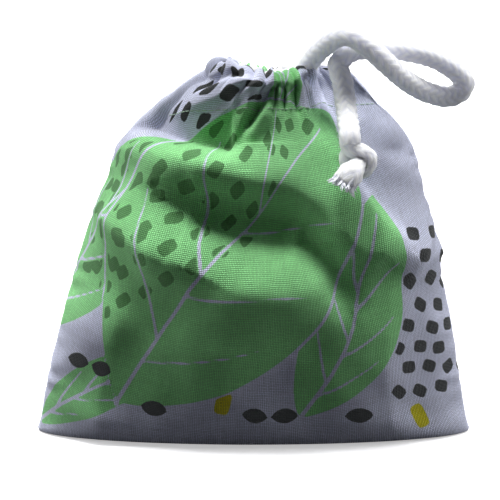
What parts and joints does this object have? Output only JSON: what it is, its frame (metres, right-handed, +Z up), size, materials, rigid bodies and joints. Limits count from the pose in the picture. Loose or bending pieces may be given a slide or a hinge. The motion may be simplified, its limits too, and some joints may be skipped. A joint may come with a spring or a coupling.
{
  "type": "drawstring pouch",
  "caption": "Small standing drawstring pouch of printed cotton, drawn shut at the neck by a thick white braided cord that ends in stopper knots.",
  "frame": {"origin": "middle of the base the pouch stands on", "axes": "+X along the bottom seam to the viewer's right, +Y to the back, +Z up through the mouth"},
  "size_m": [0.1131, 0.0513, 0.1065],
  "materials": {
    "printed_cotton": "plain-weave cotton, printed in greens and black on a pale lilac-grey ground",
    "seam_cotton": "unprinted wrong side of the same cotton",
    "braided_cord": "white braided cotton cord, soft and matt"
  },
  "bodies": {
    "root": {"front_panel": "printed_cotton", "back_panel": "printed_cotton", "front_shoulder_fold": "printed_cotton", "back_shoulder_fold": "printed_cotton", "left_side_seam": "seam_cotton", "right_side_seam": "seam_cotton", "bottom_seam": "seam_cotton", "cord_turn": "braided_cord"},
    "front_lip": {"front_neck": "printed_cotton"},
    "back_lip": {"back_neck": "printed_cotton"},
    "front_cord": {"front_run": "braided_cord"},
    "back_cord": {"back_run": "braided_cord"},
    "loop": {"pull_loop": "braided_cord"},
    "front_tail": {"front_end": "braided_cord", "front_knot": "braided_cord"},
    "rear_tail": {"rear_end": "braided_cord", "rear_knot": "braided_cord"}
  },
  "joints": [
    {"name": "front_lip_open", "type": "hinge", "parent": "root", "child": "front_lip", "pos_m": [0, 0, 0.062], "axis": [1, 0, 0], "range_deg": [0, 18], "deforming": ["front_shoulder_fold", "cord_turn"]},
    {"name": "back_lip_open", "type": "hinge", "parent": "root", "child": "back_lip", "pos_m": [0, 0, 0.062], "axis": [-1, 0, 0], "range_deg": [0, 18], "deforming": ["back_shoulder_fold"]},
    {"name": "front_cord_pull", "type": "slide", "parent": "front_lip", "child": "front_cord", "axis": [1, 0, 0], "range_m": [0, 0.008]},
    {"name": "back_cord_pull", "type": "slide", "parent": "back_lip", "child": "back_cord", "axis": [1, 0, 0], "range_m": [0, 0.008]},
    {"name": "loop_lift", "type": "hinge", "parent": "front_cord", "child": "loop", "pos_m": [0.0093, -0.006, 0.0965], "axis": [0, -1, 0], "range_deg": [0, 25]},
    {"name": "front_tail_swing", "type": "hinge", "parent": "loop", "child": "front_tail", "pos_m": [0.02965, -0.0123, 0.1034], "axis": [-1, 0, 0], "range_deg": [0, 60]},
    {"name": "rear_tail_swing", "type": "hinge", "parent": "back_cord", "child": "rear_tail", "pos_m": [0.0093, 0.006, 0.094], "axis": [1, 0, 0], "range_deg": [0, 60]}
  ],
  "couplings": [
    {"joint": "back_lip_open", "follows": "front_lip_open", "ratio": 1}
  ]
}
